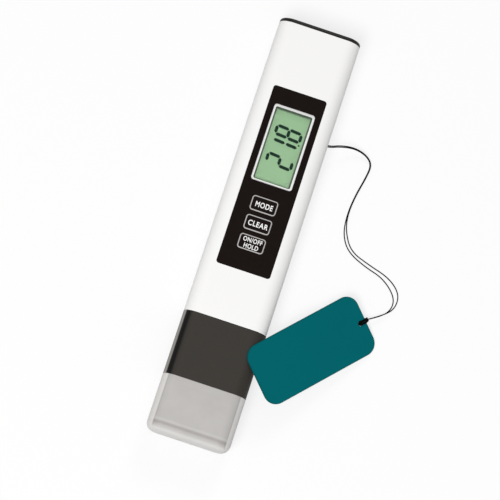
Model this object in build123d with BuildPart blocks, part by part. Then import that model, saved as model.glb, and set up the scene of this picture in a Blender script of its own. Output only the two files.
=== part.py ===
from build123d import *
import math
import os

# Digital water quality tester, a pen-type meter that lies on its back on a table.
# +X is the right of the display, +Y the battery end, and +Z stands out of the display.
# The origin is the middle of the back, on the surface that the tester rests on.
# All sizes are in millimetres.

os.makedirs("parts", exist_ok=True)

# Shells: black cover, white sleeve, black collar and clear cap share one outline
body_length = 154.0
body_width = 30.0
body_depth = 14.0
body_radius = 5.0
cover_thickness = 1.5
collar_length = 23.2
cap_length = 19.8
sleeve_wall = 1.5
collar_wall = 3.0
cap_wall = 1.3
cap_end_wall = 1.4
cover_edge_radius = 1.0
cap_end_radius = 3.0
parting_edge = 0.15

# Fits and running gaps
fixed_fit = 0.1
slide_fit = 0.15
key_fit = 0.12
pin_fit = 0.03
seat_gap = 0.05
cut_margin = 1.0

# Front panel with the display window
panel_side = 0.2
panel_length = 67.0
panel_corner = 1.0
panel_drop = 23.8
panel_recess = 0.6
panel_thickness = 0.5
panel_edge = 0.1
window_side = 2.3
window_length = 28.8
window_corner = 1.0
window_drop = 6.15

# Display behind the window
frame_line = 0.75
frame_side_border = 0.8
frame_end_border = 2.1
frame_skirt = 0.7
frame_lip = 0.55
frame_corner = 0.8
view_corner = 0.6
glass_thickness = 0.9
glass_corner = 0.3
rear_glass_thickness = 1.2
rear_glass_overlap = 0.2
connector_gap = 0.15

# Keys and the switches below them
key_names = ("mode", "clear", "power")
key_width = 9.45
key_height = 5.45
key_gap = 1.65
key_drop = 5.0
key_corner = 1.1
key_edge = 0.2
key_travel = 0.3
key_lip = 0.5
key_lip_thickness = 0.7
key_stem_diameter = 3.2
switch_size = 4.5
switch_corner = 0.4
switch_floor = 0.4
switch_roof = 0.5
switch_cavity_diameter = 3.6
plunger_diameter = 2.2
plunger_height = 0.5
plunger_foot_diameter = 3.0
plunger_foot_thickness = 0.3
switch_leg_width = 0.7
switch_leg_length = 0.8
switch_leg_thickness = 0.2

# Circuit board, its parts and its screws
board_thickness = 1.0
board_depth = 4.3
board_corner = 1.0
board_end_margin = 4.0
board_seat = 1.0
chip_size = 7.0
chip_thickness = 1.3
chip_lead_pitch = 0.8
chip_leads = 7
chip_lead_width = 0.3
chip_lead_length = 0.9
chip_drop = 12.0
crystal_diameter = 2.0
crystal_length = 6.0
crystal_side = 7.0
capacitor_diameter = 4.0
capacitor_height = 2.4
capacitor_spacing = 6.0
capacitor_rise = 6.5
screw_margin = 1.9
screw_inset = 2.3
screw_head_diameter = 3.2
screw_head_height = 1.1
screw_diameter = 1.8
screw_length = 4.2
screw_slot_width = 0.45
screw_slot_depth = 0.5
screw_hole_gap = 0.2

# Chassis: the channel that slides into the sleeve with the board on it
chassis_floor = 1.2
chassis_wall = 1.7
chassis_ledge = 1.0
chassis_boss_diameter = 4.4
chassis_rib = 1.2
chassis_top_margin = 0.5
lanyard_notch = 5.0

# Battery drawer: behind the cover, two button cells side by side fill its width
cell_height = 5.4
cell_rim = 0.9
cell_cap_height = 0.4
cell_crimp = 0.5
cell_edge = 0.4
cell_fit = 0.2
cell_divider = 0.5
tray_floor = 1.2
tray_side_wall = 1.1
tray_end_wall = 2.2
tray_lip = 1.3
tray_side_drop = 1.5
cover_plug_length = 5.5
bridge_thickness = 0.2
bridge_width = 6.0
bridge_overhang = 3.5
bridge_corner = 1.0
contact_width = 3.0
contact_thickness = 0.25
contact_gap = 0.1
contact_rise = 0.9
contact_foot = 3.0
contact_slope = 2.5

# Seals: flat rings with rounded edges, each in a groove of its plug
seal_depth = 0.8
seal_width = 1.2
seal_edge = 0.3
cover_seal_drop = 1.6
housing_seal_drop = 3.0
cap_seal_drop = 2.4

# Probe end
plug_length = 8.0
nose_length = 6.0
nose_edge = 0.5
head_plug_length = 8.0
island_width = 18.0
island_depth = 6.0
island_height = 1.5
electrode_diameter = 2.0
electrode_spacing = 12.0
electrode_reach = 5.0
electrode_tip = 0.7
electrode_tail = 3.0
sensor_diameter = 2.4
lead_diameter = 0.9
lead_inset = 2.0

# Lanyard eye: two small holes in the right wall, and the bar of wall between them
lanyard_drop = 37.2
lanyard_height = 7.0
lanyard_hole_diameter = 1.0
lanyard_bar = 0.8

# Card tag on the string, leaning on the collar's right edge
tag_length = 46.5
tag_width = 22.3
tag_thickness = 0.8
tag_corner = 4.7
tag_edge = 0.15
tag_turn = 46.5
tag_reach = 20.8
tag_middle = -33.0
tag_rest_gap = 0.1
tag_hole_diameter = 2.0
tag_hole_inset = 2.2

# String: one loop of thin black cord, seen as two strands
string_diameter = 0.4
hitch_width = 1.3
hitch_thickness = 0.4
hitch_length = 0.6
hitch_gap = 0.1

# Sizes across the body: the panel fills its flat front, the board and the cells its inside
panel_width = body_width - 2 * (body_radius + panel_side)
window_width = panel_width - 2 * window_side
frame_width = window_width + 2 * frame_side_border
frame_length = window_length + 2 * frame_end_border
view_width = window_width - 2 * frame_line
view_length = window_length - 2 * frame_line
glass_width = frame_width - 2 * frame_skirt - 2 * seat_gap
glass_length = frame_length - 2 * frame_skirt - 2 * seat_gap
rear_glass_length = view_length + 2 * rear_glass_overlap
chassis_inset = sleeve_wall + fixed_fit
board_width = body_width - 2 * (chassis_inset + chassis_wall + fixed_fit)
tray_inset = sleeve_wall + slide_fit
cell_pocket = body_width / 2 - tray_inset - tray_side_wall - cell_divider / 2
cell_diameter = cell_pocket - 2 * cell_fit
cell_cap_diameter = cell_diameter - 2 * cell_rim
cell_side = (cell_pocket + cell_divider) / 2

# Levels along the body, from the middle
top_end = body_length / 2
bottom_end = -body_length / 2
sleeve_top = top_end - cover_thickness
cap_mouth = bottom_end + cap_length
sleeve_bottom = cap_mouth + collar_length
plug_top = sleeve_bottom + plug_length
panel_top = sleeve_top - panel_drop
panel_middle = panel_top - panel_length / 2
window_middle = panel_top - window_drop - window_length / 2
first_key = window_middle - window_length / 2 - key_drop - key_height / 2
key_pitch = key_height + key_gap
key_levels = [first_key - row * key_pitch for row in range(len(key_names))]
key_places = [(0, level) for level in key_levels]
lanyard_level = sleeve_top - lanyard_drop
tray_top = sleeve_top - cover_plug_length
cell_level = tray_top - tray_end_wall - cell_pocket / 2
tray_length = tray_end_wall + cell_pocket + tray_lip

# Levels through the body, from the back
front_inner = body_depth - sleeve_wall
panel_floor = body_depth - panel_recess
frame_top = panel_floor - seat_gap
glass_top = frame_top - frame_lip
glass_bottom = glass_top - glass_thickness
board_top = front_inner - board_depth
board_bottom = board_top - board_thickness
switch_cavity = plunger_foot_thickness + key_travel + 2 * seat_gap
switch_height = switch_floor + switch_cavity + switch_roof
switch_top = board_top + switch_height
plunger_top = switch_top + plunger_height
key_lip_top = front_inner - seat_gap
key_lip_bottom = key_lip_top - key_lip_thickness
middle_height = body_depth / 2

# The board, between the chassis ends
board_upper_end = window_middle + frame_length / 2 + board_end_margin
board_lower_end = plug_top + board_seat
board_length = board_upper_end - board_lower_end
board_middle = (board_upper_end + board_lower_end) / 2
screw_places = [
    (side * (board_width / 2 - screw_margin), level)
    for side in (-1, 1)
    for level in (board_upper_end - screw_inset, board_lower_end + screw_inset)
]


def across(level):
    """The plane across the body at a level along it, seen from the battery end."""
    return Plane(origin=(0, level, middle_height), x_dir=(1, 0, 0), z_dir=(0, -1, 0))


def body_outline(inset, mode=Mode.ADD):
    """The shared outline of the shells, taken in by an inset."""
    RectangleRounded(
        body_width - 2 * inset, body_depth - 2 * inset, body_radius - inset, mode=mode
    )


def outline_ring(inset, thickness):
    """The ring between two insets of the shared outline."""
    body_outline(inset)
    body_outline(inset + thickness, mode=Mode.SUBTRACT)


def end_edges(part, end):
    """The outer edges of a part's end face: 0 is its probe end, -1 its battery end."""
    return part.faces().sort_by(Axis.Y)[end].outer_wire().edges()


def save(part, name):
    """Label a finished piece and write it as one STEP file."""
    part.label = name
    export_step(part, f"parts/{name}.step")


# White sleeve with the panel recess, the openings behind it and the lanyard eye
with BuildPart() as housing:
    with BuildSketch(across(sleeve_top)):
        outline_ring(0, sleeve_wall)
    extrude(amount=sleeve_top - sleeve_bottom)
    fillet(end_edges(housing, 0) + end_edges(housing, -1), parting_edge)
    with BuildSketch(Plane.XY.offset(body_depth)):
        with Locations((0, panel_middle)):
            RectangleRounded(
                panel_width + 2 * seat_gap,
                panel_length + 2 * seat_gap,
                panel_corner + seat_gap,
            )
    extrude(amount=-panel_recess, mode=Mode.SUBTRACT)
    with BuildSketch(Plane.XY.offset(body_depth)):
        with Locations((0, window_middle)):
            RectangleRounded(
                frame_width + 2 * fixed_fit,
                frame_length + 2 * fixed_fit,
                frame_corner + fixed_fit,
            )
        with Locations(*key_places):
            RectangleRounded(
                key_width + 2 * key_fit, key_height + 2 * key_fit, key_corner + key_fit
            )
    extrude(amount=-(sleeve_wall + cut_margin), mode=Mode.SUBTRACT)
    with BuildSketch(Plane.YZ.offset(body_width / 2)):
        with Locations((lanyard_level, lanyard_height)):
            with GridLocations(0, lanyard_bar + lanyard_hole_diameter, 1, 2):
                Circle(lanyard_hole_diameter / 2)
    extrude(amount=-(sleeve_wall + cut_margin), mode=Mode.SUBTRACT)
save(housing.part, "housing")

# Black front panel, with the window and three key openings
with BuildPart() as overlay_panel:
    with BuildSketch(Plane.XY.offset(panel_floor)):
        with Locations((0, panel_middle)):
            RectangleRounded(panel_width, panel_length, panel_corner)
    extrude(amount=panel_thickness)
    fillet(overlay_panel.faces().sort_by(Axis.Z)[-1].edges(), panel_edge)
    with BuildSketch(Plane.XY.offset(panel_floor)):
        with Locations((0, window_middle)):
            RectangleRounded(window_width, window_length, window_corner)
        with Locations(*key_places):
            RectangleRounded(
                key_width + 2 * key_fit, key_height + 2 * key_fit, key_corner + key_fit
            )
    extrude(amount=panel_thickness, mode=Mode.SUBTRACT)
save(overlay_panel.part, "overlay_panel")

# Clear lens that fills the window, flush with the panel
with BuildPart() as display_window:
    with BuildSketch(Plane.XY.offset(panel_floor)):
        with Locations((0, window_middle)):
            RectangleRounded(window_width, window_length, window_corner)
    extrude(amount=panel_thickness)
save(display_window.part, "display_window")

# White frame that stands on the board, holds the glass and shows as a line in the window
with BuildPart() as display_frame:
    with BuildSketch(Plane.XY.offset(board_top)):
        with Locations((0, window_middle)):
            RectangleRounded(frame_width, frame_length, frame_corner)
    extrude(amount=frame_top - board_top)
    with BuildSketch(Plane.XY.offset(board_top)):
        with Locations((0, window_middle)):
            Rectangle(frame_width - 2 * frame_skirt, frame_length - 2 * frame_skirt)
    extrude(amount=glass_top - board_top, mode=Mode.SUBTRACT)
    with BuildSketch(Plane.XY.offset(frame_top)):
        with Locations((0, window_middle)):
            RectangleRounded(view_width, view_length, view_corner)
    extrude(amount=-(frame_lip + cut_margin), mode=Mode.SUBTRACT)
save(display_frame.part, "display_frame")

# Front glass of the display
with BuildPart() as lcd_glass:
    with BuildSketch(Plane.XY.offset(glass_bottom)):
        with Locations((0, window_middle)):
            RectangleRounded(glass_width, glass_length, glass_corner)
    extrude(amount=glass_thickness)
save(lcd_glass.part, "lcd_glass")

# Rear glass with the grey-green reflector, shorter than the front one at both ends
with BuildPart() as lcd_panel:
    with BuildSketch(Plane.XY.offset(glass_bottom)):
        with Locations((0, window_middle)):
            Rectangle(glass_width, rear_glass_length)
    extrude(amount=-rear_glass_thickness)
save(lcd_panel.part, "lcd_panel")

# Elastomer strips that join the board to the front glass at its two ends
connector_width = (glass_length - rear_glass_length) / 2 - 2 * connector_gap
connector_offset = (rear_glass_length + connector_width) / 2 + connector_gap
for strip_name, strip_end in (("upper", 1), ("lower", -1)):
    with BuildPart() as lcd_connector:
        with BuildSketch(Plane.XY.offset(board_top)):
            with Locations((0, window_middle + strip_end * connector_offset)):
                Rectangle(view_width, connector_width)
        extrude(amount=glass_bottom - board_top)
        fillet(lcd_connector.edges().filter_by(Axis.Z), connector_gap)
    save(lcd_connector.part, f"lcd_connector_{strip_name}")

# Keys: each cap stands through the panel, its lip holds it in, its stem meets the switch
for key_name, key_level in zip(key_names, key_levels):
    with BuildPart() as key:
        with BuildSketch(Plane.XY.offset(key_lip_bottom)):
            with Locations((0, key_level)):
                RectangleRounded(
                    key_width + 2 * key_lip, key_height + 2 * key_lip, key_corner + key_lip
                )
        extrude(amount=key_lip_thickness)
        with BuildSketch(Plane.XY.offset(key_lip_top)):
            with Locations((0, key_level)):
                RectangleRounded(key_width, key_height, key_corner)
        extrude(amount=body_depth - key_lip_top)
        fillet(key.faces().sort_by(Axis.Z)[-1].edges(), key_edge)
        with BuildSketch(Plane.XY.offset(plunger_top)):
            with Locations((0, key_level)):
                Circle(key_stem_diameter / 2)
        extrude(amount=key_lip_bottom - plunger_top)
    save(key.part, f"{key_name}_key")

    plunger_foot = switch_top - switch_roof - seat_gap - plunger_foot_thickness
    with BuildPart() as plunger:
        with BuildSketch(Plane.XY.offset(plunger_foot)):
            with Locations((0, key_level)):
                Circle(plunger_foot_diameter / 2)
        extrude(amount=plunger_foot_thickness)
        with BuildSketch(Plane.XY.offset(plunger_foot)):
            with Locations((0, key_level)):
                Circle(plunger_diameter / 2)
        extrude(amount=plunger_top - plunger_foot)
    save(plunger.part, f"{key_name}_plunger")

    with BuildPart() as switch:
        with BuildSketch(Plane.XY.offset(board_top)):
            with Locations((0, key_level)):
                RectangleRounded(switch_size, switch_size, switch_corner)
        extrude(amount=switch_height)
        with BuildSketch(Plane.XY.offset(board_top)):
            with Locations((0, key_level)):
                with GridLocations(switch_size, switch_size / 2, 2, 2):
                    Rectangle(2 * switch_leg_length, switch_leg_width)
        extrude(amount=switch_leg_thickness)
        with BuildSketch(Plane.XY.offset(board_top + switch_floor)):
            with Locations((0, key_level)):
                Circle(switch_cavity_diameter / 2)
        extrude(amount=switch_cavity, mode=Mode.SUBTRACT)
        with BuildSketch(Plane.XY.offset(switch_top)):
            with Locations((0, key_level)):
                Circle(plunger_diameter / 2 + seat_gap)
        extrude(amount=-switch_height / 2, mode=Mode.SUBTRACT)
    save(switch.part, f"{key_name}_switch")

# Circuit board with its four screw holes
with BuildPart() as pcb:
    with BuildSketch(Plane.XY.offset(board_bottom)):
        with Locations((0, board_middle)):
            RectangleRounded(board_width, board_length, board_corner)
        with Locations(*screw_places):
            Circle(screw_diameter / 2 + screw_hole_gap, mode=Mode.SUBTRACT)
    extrude(amount=board_thickness)
save(pcb.part, "pcb")

# Controller chip under the board, with leads on its four sides
chip_level = window_middle - chip_drop
with BuildPart() as controller_chip:
    with BuildSketch(Plane.XY.offset(board_bottom)):
        with Locations((0, chip_level)):
            Rectangle(chip_size, chip_size)
    extrude(amount=-chip_thickness)
    chamfer(controller_chip.edges().group_by(Axis.Z)[0], chip_lead_width)
    with BuildSketch(Plane.XY.offset(board_bottom)):
        with Locations((0, chip_level)):
            with GridLocations(chip_size, chip_lead_pitch, 2, chip_leads):
                Rectangle(2 * chip_lead_length, chip_lead_width)
            with GridLocations(chip_lead_pitch, chip_size, chip_leads, 2):
                Rectangle(chip_lead_width, 2 * chip_lead_length)
    extrude(amount=-chip_lead_width)
save(controller_chip.part, "controller_chip")

# Crystal can, lying along the board beside the chip
crystal_height = board_bottom - crystal_diameter / 2
crystal_end = Plane(
    origin=(crystal_side, chip_level + crystal_length / 2, crystal_height),
    x_dir=(1, 0, 0),
    z_dir=(0, -1, 0),
)
with BuildPart() as crystal:
    with BuildSketch(crystal_end):
        Circle(crystal_diameter / 2)
    extrude(amount=crystal_length)
    fillet(crystal.edges().sort_by(Axis.Y)[0], crystal_diameter / 5)
save(crystal.part, "crystal")

# Two capacitors under the lower end of the board
capacitor_level = board_lower_end + capacitor_rise
with BuildPart() as capacitors:
    with BuildSketch(Plane.XY.offset(board_bottom)):
        with Locations((0, capacitor_level)):
            with GridLocations(capacitor_spacing, 0, 2, 1):
                Circle(capacitor_diameter / 2)
    extrude(amount=-capacitor_height)
    fillet(capacitors.edges().group_by(Axis.Z)[0], capacitor_diameter / 16)
save(capacitors.part, "capacitors")

# Chassis: a channel in the sleeve's outline, with ledges, bosses and a rib below the board
chassis_upper_end = board_upper_end + chassis_top_margin
chassis_floor_top = chassis_inset + chassis_floor
key_rib_level = key_levels[len(key_levels) // 2]
with BuildPart() as chassis:
    with BuildSketch(across(chassis_upper_end)):
        body_outline(chassis_inset)
    extrude(amount=chassis_upper_end - plug_top)
    split(bisect_by=Plane.XY.offset(board_top), keep=Keep.BOTTOM)
    with BuildSketch(Plane.XY.offset(board_bottom)):
        with Locations((0, board_middle)):
            Rectangle(board_width + 2 * fixed_fit, 2 * board_length)
    extrude(amount=2 * board_thickness, mode=Mode.SUBTRACT)
    with BuildSketch(Plane.XY.offset(chassis_floor_top)):
        with Locations((0, board_middle)):
            Rectangle(board_width - 2 * chassis_ledge, 2 * board_length)
    extrude(amount=board_top - chassis_floor_top, mode=Mode.SUBTRACT)
    with BuildSketch(Plane.XY.offset(chassis_floor_top)):
        with Locations(*screw_places):
            Circle(chassis_boss_diameter / 2)
        with Locations((0, key_rib_level)):
            Rectangle(board_width - 2 * chassis_ledge, chassis_rib)
    extrude(amount=board_bottom - chassis_floor_top)
    with BuildSketch(Plane.XY.offset(board_bottom)):
        with Locations(*screw_places):
            Circle(screw_diameter / 2 + seat_gap)
    extrude(amount=-(screw_length - board_thickness + seat_gap), mode=Mode.SUBTRACT)
    with BuildSketch(Plane.YZ.offset(board_width / 2 - chassis_ledge)):
        with Locations((lanyard_level, body_depth)):
            Rectangle(lanyard_notch, 2 * (body_depth - chassis_floor_top))
    extrude(amount=body_width / 2, mode=Mode.SUBTRACT)
save(chassis.part, "chassis")

# Four slotted screws that hold the board on the chassis
with BuildPart() as chassis_screws:
    with BuildSketch(Plane.XY.offset(board_top)):
        with Locations(*screw_places):
            Circle(screw_head_diameter / 2)
    extrude(amount=screw_head_height)
    fillet(chassis_screws.edges().group_by(Axis.Z)[-1], screw_head_height / 3)
    with BuildSketch(Plane.XY.offset(board_top)):
        with Locations(*screw_places):
            Circle(screw_diameter / 2)
    extrude(amount=-screw_length)
    with BuildSketch(Plane.XY.offset(board_top + screw_head_height)):
        with Locations(*screw_places):
            Rectangle(screw_head_diameter + cut_margin, screw_slot_width)
    extrude(amount=-screw_slot_depth, mode=Mode.SUBTRACT)
save(chassis_screws.part, "chassis_screws")

# Battery drawer: the tray slides in the sleeve, with a pocket for each cell
cell_bottom = tray_inset + tray_floor
cell_top = cell_bottom + cell_height
cell_places = [(-cell_side, cell_level), (cell_side, cell_level)]
with BuildPart() as battery_tray:
    with BuildSketch(across(tray_top)):
        body_outline(tray_inset)
    extrude(amount=tray_length)
    split(bisect_by=Plane.XY.offset(cell_top - tray_side_drop), keep=Keep.BOTTOM)
    with BuildSketch(Plane.XY.offset(cell_bottom)):
        with Locations(*cell_places):
            Circle(cell_pocket / 2)
    extrude(amount=cell_height, mode=Mode.SUBTRACT)
    with BuildSketch(Plane.XY.offset(cell_bottom)):
        with Locations((0, cell_level)):
            RectangleRounded(
                2 * (cell_side + bridge_overhang + seat_gap),
                bridge_width + 2 * seat_gap,
                bridge_corner + seat_gap,
            )
    extrude(amount=-bridge_thickness, mode=Mode.SUBTRACT)
    with BuildSketch(Plane.XY.offset(cell_bottom)):
        with Locations((0, cell_level)):
            Rectangle(2 * cell_side, bridge_width + 2 * seat_gap)
    extrude(amount=bridge_thickness, mode=Mode.SUBTRACT)
save(battery_tray.part, "battery_tray")

# Plate that joins the two cells in series
with BuildPart() as cell_bridge:
    with BuildSketch(Plane.XY.offset(cell_bottom)):
        with Locations((0, cell_level)):
            RectangleRounded(
                2 * (cell_side + bridge_overhang), bridge_width, bridge_corner
            )
    extrude(amount=-bridge_thickness)
save(cell_bridge.part, "cell_bridge")


def button_cell(side, base, upright):
    """One button cell; upright has its small negative cap on top."""
    up = 1 if upright else -1
    with BuildPart() as cell:
        with BuildSketch(
            Plane(origin=(side, cell_level, base), x_dir=(1, 0, 0), z_dir=(0, -up, 0))
        ):
            with BuildLine():
                Polyline(
                    (0, 0),
                    (cell_diameter / 2 - cell_edge, 0),
                    (cell_diameter / 2, cell_edge),
                    (cell_diameter / 2, cell_height - cell_cap_height - cell_crimp),
                    (cell_diameter / 2 - cell_crimp, cell_height - cell_cap_height),
                    (cell_cap_diameter / 2, cell_height - cell_cap_height),
                    (cell_cap_diameter / 2, cell_height),
                    (0, cell_height),
                    close=True,
                )
            make_face()
        revolve(axis=Axis((side, cell_level, base), (0, 0, 1)))
    return cell.part


save(button_cell(-cell_side, cell_bottom, True), "cell_left")
save(button_cell(cell_side, cell_top, False), "cell_right")

# Battery contacts: strips soldered to the board that reach over the cells
beam_height = max(board_top, cell_top) + contact_rise
contact_tip = cell_top + contact_gap
for contact_name, contact_side in (("negative", -1), ("positive", 1)):
    contact_plane = Plane(
        origin=(contact_side * cell_side - contact_width / 2, 0, 0),
        x_dir=(0, 1, 0),
        z_dir=(1, 0, 0),
    )
    with BuildPart() as contact:
        with BuildSketch(contact_plane):
            with BuildLine():
                Polyline(
                    (board_upper_end - contact_foot, board_top),
                    (board_upper_end, board_top),
                    (board_upper_end, beam_height),
                    (cell_level - contact_slope, beam_height),
                    (cell_level, contact_tip),
                    (cell_level + contact_slope, beam_height),
                )
                offset(amount=contact_thickness, side=Side.LEFT, kind=Kind.INTERSECTION)
            make_face()
        extrude(amount=contact_width)
    save(contact.part, f"contact_{contact_name}")

# Black cover with its plug, which closes the sleeve and carries the tray
with BuildPart() as battery_cover:
    with BuildSketch(across(top_end)):
        body_outline(0)
    extrude(amount=cover_thickness)
    fillet(end_edges(battery_cover, -1), cover_edge_radius)
    fillet(end_edges(battery_cover, 0), parting_edge)
    with BuildSketch(across(sleeve_top)):
        body_outline(tray_inset)
    extrude(amount=cover_plug_length)
    with BuildSketch(across(sleeve_top - cover_seal_drop)):
        outline_ring(tray_inset, seal_depth)
    extrude(amount=seal_width, mode=Mode.SUBTRACT)
save(battery_cover.part, "battery_cover")


def seal_ring(level, plug_inset):
    """The seal in a groove that starts at a level; it stands a little proud of its plug."""
    with BuildPart() as seal:
        with BuildSketch(across(level)):
            outline_ring(plug_inset - seat_gap, seal_depth + seat_gap)
        extrude(amount=seal_width)
        fillet(seal.edges(), seal_edge)
    return seal.part


save(seal_ring(sleeve_top - cover_seal_drop, tray_inset), "cover_seal")

# Black collar: the sensor housing, plugged into the sleeve
with BuildPart() as probe_housing:
    with BuildSketch(across(sleeve_bottom)):
        body_outline(0)
    extrude(amount=collar_length)
    fillet(end_edges(probe_housing, 0) + end_edges(probe_housing, -1), parting_edge)
    with BuildSketch(across(plug_top)):
        body_outline(chassis_inset)
    extrude(amount=plug_length)
    with BuildSketch(across(plug_top - housing_seal_drop)):
        outline_ring(chassis_inset, seal_depth)
    extrude(amount=seal_width, mode=Mode.SUBTRACT)
    with BuildSketch(across(plug_top)):
        body_outline(collar_wall)
    extrude(amount=plug_length + collar_length, mode=Mode.SUBTRACT)
save(probe_housing.part, "probe_housing")
save(seal_ring(plug_top - housing_seal_drop, chassis_inset), "housing_seal")

# Pale probe head in the collar's mouth: its nose carries the cap and the three pins
nose_inset = cap_wall + slide_fit
nose_end = cap_mouth - nose_length
island_end = nose_end - island_height
pin_places = (-electrode_spacing / 2, 0, electrode_spacing / 2)
pin_radii = (electrode_diameter / 2, sensor_diameter / 2, electrode_diameter / 2)
head_top = cap_mouth + head_plug_length
with BuildPart() as probe_head:
    with BuildSketch(across(cap_mouth)):
        body_outline(nose_inset)
    extrude(amount=nose_length)
    fillet(end_edges(probe_head, 0), nose_edge)
    with BuildSketch(across(head_top)):
        body_outline(collar_wall + fixed_fit)
    extrude(amount=head_plug_length)
    with BuildSketch(across(nose_end)):
        SlotOverall(island_width, island_depth)
    extrude(amount=island_height)
    with BuildSketch(across(cap_mouth - cap_seal_drop)):
        outline_ring(nose_inset, seal_depth)
    extrude(amount=seal_width, mode=Mode.SUBTRACT)
    with BuildSketch(across(head_top)):
        for pin_side, pin_radius in zip(pin_places, pin_radii):
            with Locations((pin_side, 0)):
                Circle(pin_radius + pin_fit)
    extrude(amount=head_top - island_end, mode=Mode.SUBTRACT)
save(probe_head.part, "probe_head")
save(seal_ring(cap_mouth - cap_seal_drop, nose_inset), "cap_seal")

# Two electrodes with the temperature sensor between them
pin_names = ("electrode_left", "temperature_probe", "electrode_right")
pin_top = head_top + electrode_tail
pin_length = pin_top - island_end + electrode_reach
for pin_name, pin_side, pin_radius in zip(pin_names, pin_places, pin_radii):
    with BuildPart() as pin:
        with BuildSketch(across(pin_top)):
            with Locations((pin_side, 0)):
                Circle(pin_radius)
        extrude(amount=pin_length)
        fillet(pin.edges().sort_by(Axis.Y)[0], electrode_tip)
    save(pin.part, pin_name)

# Clear cap over the pins
with BuildPart() as cap:
    with BuildSketch(across(cap_mouth)):
        body_outline(0)
    extrude(amount=cap_length)
    fillet(end_edges(cap, 0), cap_end_radius)
    fillet(end_edges(cap, -1), parting_edge)
    with BuildPart(mode=Mode.SUBTRACT) as cap_inside:
        with BuildSketch(across(cap_mouth)):
            body_outline(cap_wall)
        extrude(amount=cap_length - cap_end_wall)
        fillet(end_edges(cap_inside, 0), cap_end_radius - cap_wall)
save(cap.part, "cap")


def arc_radii(points):
    """The largest arc at each corner: 0.45 of its shorter run over the tangent of half its turn."""
    places = [Vector(*point) for point in points]
    radii = []
    for before, corner, after in zip(places, places[1:], places[2:]):
        run_in = corner - before
        run_out = after - corner
        half_turn = math.radians(run_in.get_angle(run_out)) / 2
        radii.append(0.45 * min(run_in.length, run_out.length) / math.tan(half_turn))
    return radii


def cord_tube(name, points, diameter):
    """A tube of straight runs and tangent arcs, with its radii and volume printed."""
    radii = arc_radii(points)
    with BuildPart() as cord:
        with BuildLine() as route:
            FilletPolyline(*points, radius=radii)
        with BuildSketch(Plane(origin=route.line @ 0, z_dir=route.line % 0)):
            Circle(diameter / 2)
        sweep()
    length = route.wire().length
    plain_volume = math.pi * diameter**2 / 4 * length
    print(name, "length", round(length, 2), "radii", [round(r, 1) for r in radii])
    print(name, "volume over plain volume", round(cord.part.volume / plain_volume, 4))
    return cord.part


# Three wires inside, from the board to the pins
lead_top = board_lower_end + lead_inset
lead_start = board_bottom - lead_diameter / 2
lead_drop = (lead_top - pin_top) / 4
for lead_name, pin_side in zip(("left", "middle", "right"), pin_places):
    lead_route = [
        (pin_side, lead_top, lead_start),
        (pin_side, lead_top - lead_drop, lead_start - lead_diameter / 2),
        (pin_side, lead_top - 2 * lead_drop, middle_height - 2 * lead_diameter),
        (pin_side, pin_top + lead_drop, middle_height - lead_diameter / 2),
        (pin_side, pin_top, middle_height),
    ]
    save(cord_tube(f"lead_{lead_name}", lead_route, lead_diameter), f"lead_{lead_name}")

# The tag's slope: its underside rests on the collar's rounded edge and its lowest corner
# on the table, so the slope follows from the two heights and the distance between them.
edge_side = body_width / 2 - body_radius
edge_height = body_depth - body_radius
edge_distance = body_radius + tag_rest_gap
turn = math.radians(tag_turn)
half_slope_length = (
    math.cos(turn) * (tag_length / 2 - tag_corner)
    + math.sin(turn) * (tag_width / 2 - tag_corner)
    + tag_corner
)
slope_length = tag_reach + half_slope_length
tag_lean = math.acos(
    (tag_rest_gap - edge_height) / math.hypot(edge_distance, slope_length)
) - math.atan2(slope_length, edge_distance)
slope = Vector(math.cos(tag_lean), 0, -math.sin(tag_lean))
tag_normal = Vector(math.sin(tag_lean), 0, math.cos(tag_lean))
tag_foot = Vector(edge_side, tag_middle, edge_height) + tag_normal * edge_distance
tag_plane = Plane(
    origin=tag_foot + slope * tag_reach,
    x_dir=slope * math.cos(turn) + Vector(0, math.sin(turn), 0),
    z_dir=tag_normal,
)

# Teal card tag with its string hole near the right end
tag_hole = tag_length / 2 - tag_hole_inset
with BuildPart() as tag:
    with BuildSketch(tag_plane):
        RectangleRounded(tag_length, tag_width, tag_corner)
        with Locations((tag_hole, 0)):
            Circle(tag_hole_diameter / 2, mode=Mode.SUBTRACT)
    extrude(amount=tag_thickness)
    flat_faces = tag.faces().filter_by(tag_plane).sort_by(SortBy.AREA)[-2:]
    fillet([flat_faces[0].outer_wire().edges(), flat_faces[1].outer_wire().edges()], tag_edge)
save(tag.part, "tag")

# Hitch of the string: a link through the hole and round the tag's end, and its knot
hitch_plane = Plane(
    origin=tag_plane.from_local_coords((0, hitch_width / 2, tag_thickness / 2)),
    x_dir=tag_plane.x_dir,
    z_dir=-tag_plane.y_dir,
)
link_inner_start = tag_hole + hitch_thickness / 2
link_inner_end = tag_length / 2 + hitch_gap
link_inner_height = tag_thickness + 2 * hitch_gap
link_middle = (link_inner_start + link_inner_end) / 2
knot_end = link_inner_end + hitch_thickness + hitch_length
with BuildPart() as string_knot:
    with BuildSketch(hitch_plane):
        with Locations((link_middle, 0)):
            RectangleRounded(
                link_inner_end - link_inner_start + 2 * hitch_thickness,
                link_inner_height + 2 * hitch_thickness,
                hitch_thickness,
            )
            Rectangle(
                link_inner_end - link_inner_start, link_inner_height, mode=Mode.SUBTRACT
            )
    extrude(amount=hitch_width)
    with BuildSketch(
        Plane(
            origin=tag_plane.from_local_coords((knot_end, 0, tag_thickness / 2)),
            x_dir=tag_plane.y_dir,
            z_dir=-tag_plane.x_dir,
        )
    ):
        Circle(hitch_width / 2)
    extrude(amount=hitch_length + hitch_thickness / 2)
save(string_knot.part, "string_knot")

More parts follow.
